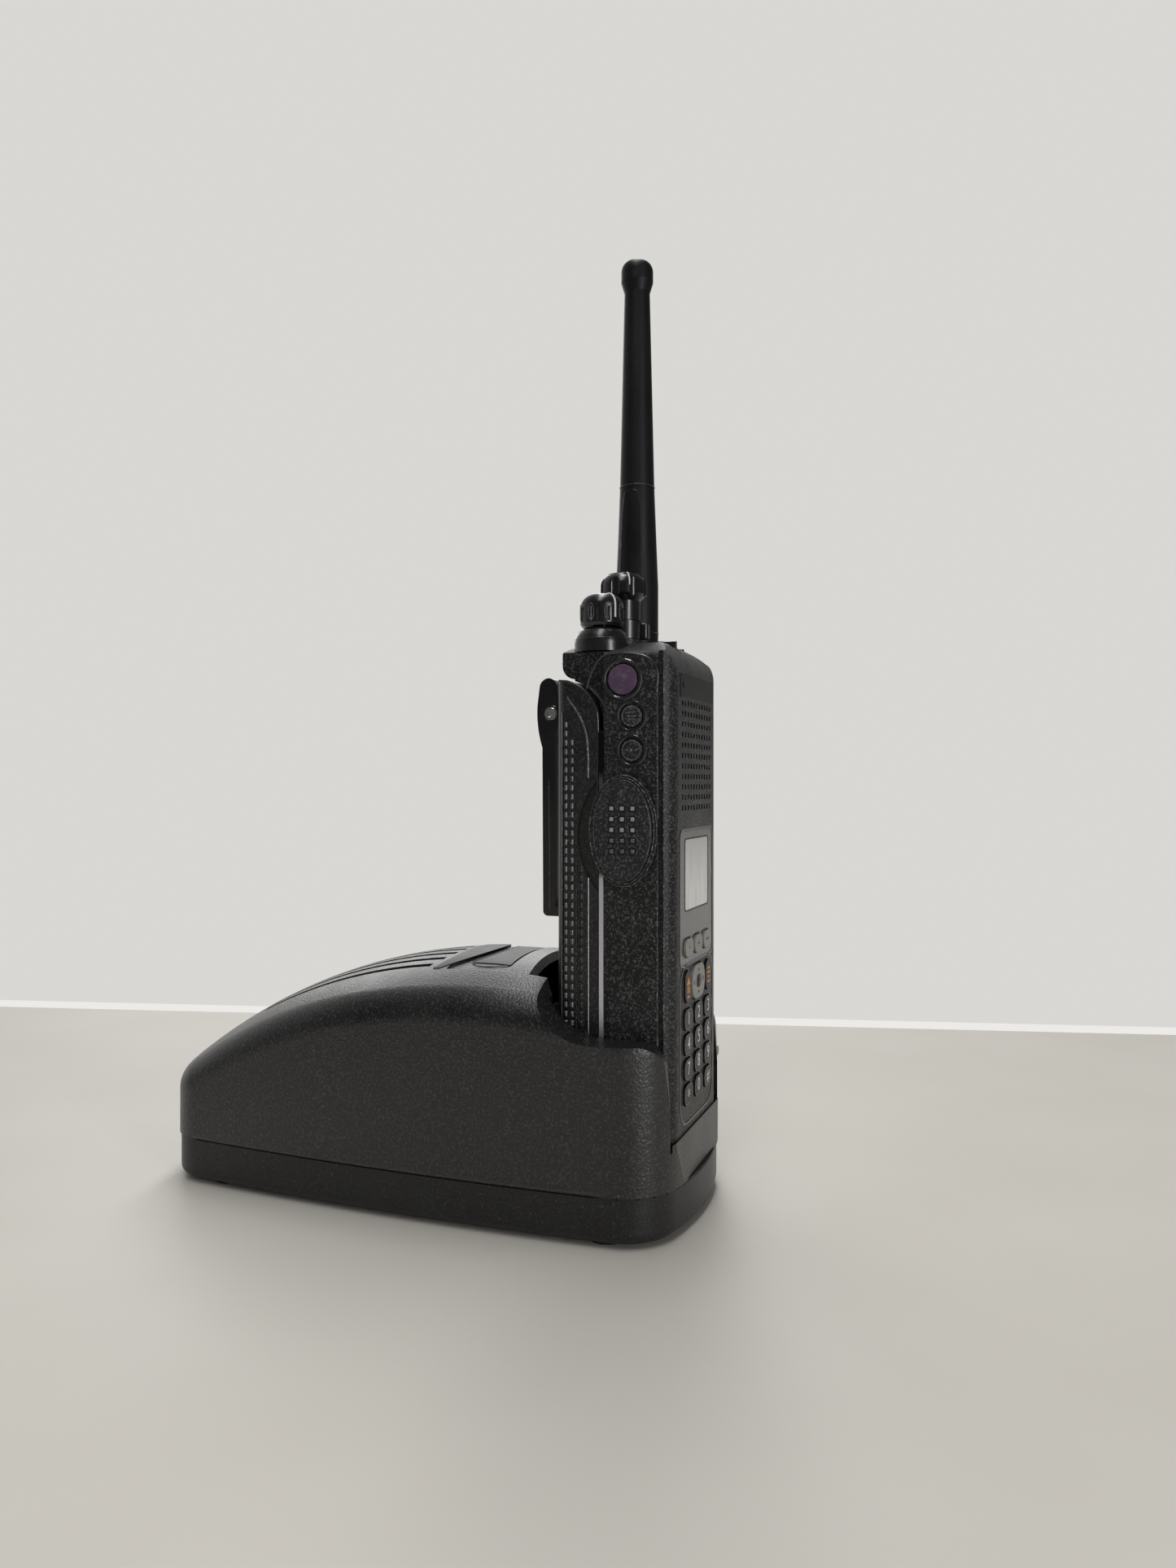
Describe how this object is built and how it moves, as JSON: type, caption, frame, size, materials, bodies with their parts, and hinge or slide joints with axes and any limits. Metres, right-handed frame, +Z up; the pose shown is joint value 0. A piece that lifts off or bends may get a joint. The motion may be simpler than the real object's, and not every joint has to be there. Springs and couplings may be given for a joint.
{
  "type": "two way radio",
  "caption": "Handheld two way radio with whip antenna, keypad, side controls, clip-on battery and belt clip, standing in the pocket of a long humped desktop charger.",
  "frame": {"origin": "on the floor under the middle of the charger's bounding box", "axes": "+Z up along the antenna, the keypad faces -Y, the talk button is on the -X side, the charger's tail points to +Y"},
  "size_m": [0.091, 0.1995, 0.3415],
  "materials": {
    "charger_plastic": "fine pebbled black, satin",
    "charger_gloss": "satin black",
    "foot_rubber": "matt",
    "screw_steel": "zinc plated",
    "circuit_board": "green solder mask",
    "contact_gold": "gold plated",
    "inlet_plastic": "black",
    "light_lens": "frosted clear",
    "battery_plastic": "textured black",
    "cell_wrap": "shrink wrap",
    "clip_metal": "black",
    "pin_chrome": "polished",
    "spring_steel": "oiled",
    "radio_plastic": "coarse textured black",
    "rail_aluminium": "satin",
    "lens_grey": "speckled dark grey",
    "display_grey": "reflective grey",
    "keypad_grey": "speckled grey",
    "key_black": "black with white figures",
    "key_grey": "light grey",
    "knob_plastic": "satin black",
    "button_rubber": "textured black",
    "button_purple": "dull purple",
    "button_orange": "orange red",
    "antenna_rubber": "smooth black",
    "antenna_wire": "steel",
    "bushing_brass": "nickel plated brass",
    "inner_plastic": "black",
    "sheet_silicone": "milky silicone"
  },
  "bodies": {
    "charger": {"base_tray": "charger_plastic", "top_housing": "charger_gloss", "rubber_feet": "foot_rubber", "tray_screws": "screw_steel", "charger_board": "circuit_board", "charger_contacts": "contact_gold", "power_inlet": "inlet_plastic", "status_light": "light_lens"},
    "battery": {"battery_case": "battery_plastic", "battery_lid": "inner_plastic", "battery_cells": "cell_wrap", "battery_contacts": "contact_gold", "clip_bracket": "clip_metal", "clip_pin": "pin_chrome", "clip_spring": "spring_steel"},
    "battery_latch": {"battery_latch": "inner_plastic"},
    "belt_clip": {"belt_clip": "clip_metal"},
    "radio": {"front_housing": "radio_plastic", "rear_chassis": "rail_aluminium", "main_board": "circuit_board", "speaker": "inner_plastic", "microphone": "screw_steel", "control_switches": "inner_plastic", "display_lens": "lens_grey", "display_panel": "display_grey", "keypad_plate": "keypad_grey", "keypad_sheet": "sheet_silicone", "connector_cover": "radio_plastic", "volume_collar": "knob_plastic", "antenna_bushing": "bushing_brass", "antenna_sheath": "antenna_rubber", "antenna_core": "antenna_wire", "status_led": "light_lens"},
    "volume_knob": {"volume_knob": "knob_plastic"},
    "channel_knob": {"channel_knob": "knob_plastic"},
    "concentric_switch": {"concentric_switch": "knob_plastic"},
    "toggle_switch": {"toggle_switch": "knob_plastic"},
    "top_button": {"top_button": "button_orange"},
    "select_button": {"select_button": "button_purple"},
    "side_button_upper": {"side_button_upper": "button_rubber"},
    "side_button_lower": {"side_button_lower": "button_rubber"},
    "ptt_button": {"ptt_button": "button_rubber"},
    "menu_key_left": {"menu_key_left": "key_grey"},
    "menu_key_middle": {"menu_key_middle": "key_grey"},
    "menu_key_right": {"menu_key_right": "key_grey"},
    "home_key": {"home_key": "key_black"},
    "data_key": {"data_key": "key_black"},
    "key_star": {"key_star": "key_black"},
    "key_0": {"key_0": "key_black"},
    "key_hash": {"key_hash": "key_black"},
    "key_7": {"key_7": "key_black"},
    "key_8": {"key_8": "key_black"},
    "key_9": {"key_9": "key_black"},
    "key_4": {"key_4": "key_black"},
    "key_5": {"key_5": "key_black"},
    "key_6": {"key_6": "key_black"},
    "key_1": {"key_1": "key_black"},
    "key_2": {"key_2": "key_black"},
    "key_3": {"key_3": "key_black"},
    "nav_rocker": {"nav_rocker": "key_grey"}
  },
  "joints": [
    {"name": "lift_from_charger", "type": "slide", "parent": "charger", "child": "battery", "axis": [0, 0, 1], "range_m": [0, 0.065]},
    {"name": "radio_off_battery", "type": "slide", "parent": "battery", "child": "radio", "axis": [0, 0, 1], "range_m": [0, 0.012]},
    {"name": "battery_latch_press", "type": "slide", "parent": "battery", "child": "battery_latch", "axis": [0, 0, 1], "range_m": [0, 0.001], "stiffness_N_per_m": 600, "springref_m": -0.0008},
    {"name": "belt_clip_open", "type": "hinge", "parent": "battery", "child": "belt_clip", "pos_m": [0, -0.0468, 0.1728], "axis": [1, 0, 0], "range_deg": [0, 13], "stiffness_Nm_per_rad": 0.6, "springref_deg": -5.73},
    {"name": "volume_turn", "type": "hinge", "parent": "radio", "child": "volume_knob", "pos_m": [-0.018, -0.068, 0.2014], "axis": [0, 0, 1], "range_deg": [-270, 0]},
    {"name": "channel_turn", "type": "hinge", "parent": "radio", "child": "channel_knob", "pos_m": [0, -0.0695, 0.2058], "axis": [0, 0, 1], "range_deg": [-165, 165]},
    {"name": "concentric_turn", "type": "hinge", "parent": "radio", "child": "concentric_switch", "pos_m": [0, -0.0695, 0.1992], "axis": [0, 0, 1], "range_deg": [-20, 20]},
    {"name": "toggle_tip", "type": "hinge", "parent": "radio", "child": "toggle_switch", "pos_m": [-0.003, -0.0872, 0.189], "axis": [0, 1, 0], "range_deg": [-14, 14]},
    {"name": "top_button_press", "type": "slide", "parent": "radio", "child": "top_button", "axis": [0, 0, -1], "range_m": [0, 0.0007], "stiffness_N_per_m": 400, "springref_m": -0.0004},
    {"name": "select_press", "type": "slide", "parent": "radio", "child": "select_button", "axis": [1, 0, 0], "range_m": [0, 0.0004], "stiffness_N_per_m": 400, "springref_m": -0.0004},
    {"name": "side_upper_press", "type": "slide", "parent": "radio", "child": "side_button_upper", "axis": [1, 0, 0], "range_m": [0, 0.0004], "stiffness_N_per_m": 400, "springref_m": -0.0004},
    {"name": "side_lower_press", "type": "slide", "parent": "radio", "child": "side_button_lower", "axis": [1, 0, 0], "range_m": [0, 0.0004], "stiffness_N_per_m": 400, "springref_m": -0.0004},
    {"name": "talk_press", "type": "slide", "parent": "radio", "child": "ptt_button", "axis": [1, 0, 0], "range_m": [0, 0.0005], "stiffness_N_per_m": 400, "springref_m": -0.0004},
    {"name": "menu_key_left_press", "type": "slide", "parent": "radio", "child": "menu_key_left", "axis": [0, 1, 0], "range_m": [0, 0.0002], "stiffness_N_per_m": 400, "springref_m": -0.0004},
    {"name": "menu_key_middle_press", "type": "slide", "parent": "radio", "child": "menu_key_middle", "axis": [0, 1, 0], "range_m": [0, 0.0002], "stiffness_N_per_m": 400, "springref_m": -0.0004},
    {"name": "menu_key_right_press", "type": "slide", "parent": "radio", "child": "menu_key_right", "axis": [0, 1, 0], "range_m": [0, 0.0002], "stiffness_N_per_m": 400, "springref_m": -0.0004},
    {"name": "home_key_press", "type": "slide", "parent": "radio", "child": "home_key", "axis": [0, 1, 0], "range_m": [0, 0.0007], "stiffness_N_per_m": 400, "springref_m": -0.0004},
    {"name": "data_key_press", "type": "slide", "parent": "radio", "child": "data_key", "axis": [0, 1, 0], "range_m": [0, 0.0007], "stiffness_N_per_m": 400, "springref_m": -0.0004},
    {"name": "key_star_press", "type": "slide", "parent": "radio", "child": "key_star", "axis": [0, 1, 0], "range_m": [0, 0.0007], "stiffness_N_per_m": 400, "springref_m": -0.0004},
    {"name": "key_0_press", "type": "slide", "parent": "radio", "child": "key_0", "axis": [0, 1, 0], "range_m": [0, 0.0007], "stiffness_N_per_m": 400, "springref_m": -0.0004},
    {"name": "key_hash_press", "type": "slide", "parent": "radio", "child": "key_hash", "axis": [0, 1, 0], "range_m": [0, 0.0007], "stiffness_N_per_m": 400, "springref_m": -0.0004},
    {"name": "key_7_press", "type": "slide", "parent": "radio", "child": "key_7", "axis": [0, 1, 0], "range_m": [0, 0.0007], "stiffness_N_per_m": 400, "springref_m": -0.0004},
    {"name": "key_8_press", "type": "slide", "parent": "radio", "child": "key_8", "axis": [0, 1, 0], "range_m": [0, 0.0007], "stiffness_N_per_m": 400, "springref_m": -0.0004},
    {"name": "key_9_press", "type": "slide", "parent": "radio", "child": "key_9", "axis": [0, 1, 0], "range_m": [0, 0.0007], "stiffness_N_per_m": 400, "springref_m": -0.0004},
    {"name": "key_4_press", "type": "slide", "parent": "radio", "child": "key_4", "axis": [0, 1, 0], "range_m": [0, 0.0007], "stiffness_N_per_m": 400, "springref_m": -0.0004},
    {"name": "key_5_press", "type": "slide", "parent": "radio", "child": "key_5", "axis": [0, 1, 0], "range_m": [0, 0.0007], "stiffness_N_per_m": 400, "springref_m": -0.0004},
    {"name": "key_6_press", "type": "slide", "parent": "radio", "child": "key_6", "axis": [0, 1, 0], "range_m": [0, 0.0007], "stiffness_N_per_m": 400, "springref_m": -0.0004},
    {"name": "key_1_press", "type": "slide", "parent": "radio", "child": "key_1", "axis": [0, 1, 0], "range_m": [0, 0.0007], "stiffness_N_per_m": 400, "springref_m": -0.0004},
    {"name": "key_2_press", "type": "slide", "parent": "radio", "child": "key_2", "axis": [0, 1, 0], "range_m": [0, 0.0007], "stiffness_N_per_m": 400, "springref_m": -0.0004},
    {"name": "key_3_press", "type": "slide", "parent": "radio", "child": "key_3", "axis": [0, 1, 0], "range_m": [0, 0.0007], "stiffness_N_per_m": 400, "springref_m": -0.0004},
    {"name": "nav_tilt", "type": "hinge", "parent": "radio", "child": "nav_rocker", "pos_m": [0, -0.0962, 0.08], "axis": [1, 0, 0], "range_deg": [-3, 3], "stiffness_Nm_per_rad": 0.05}
  ]
}
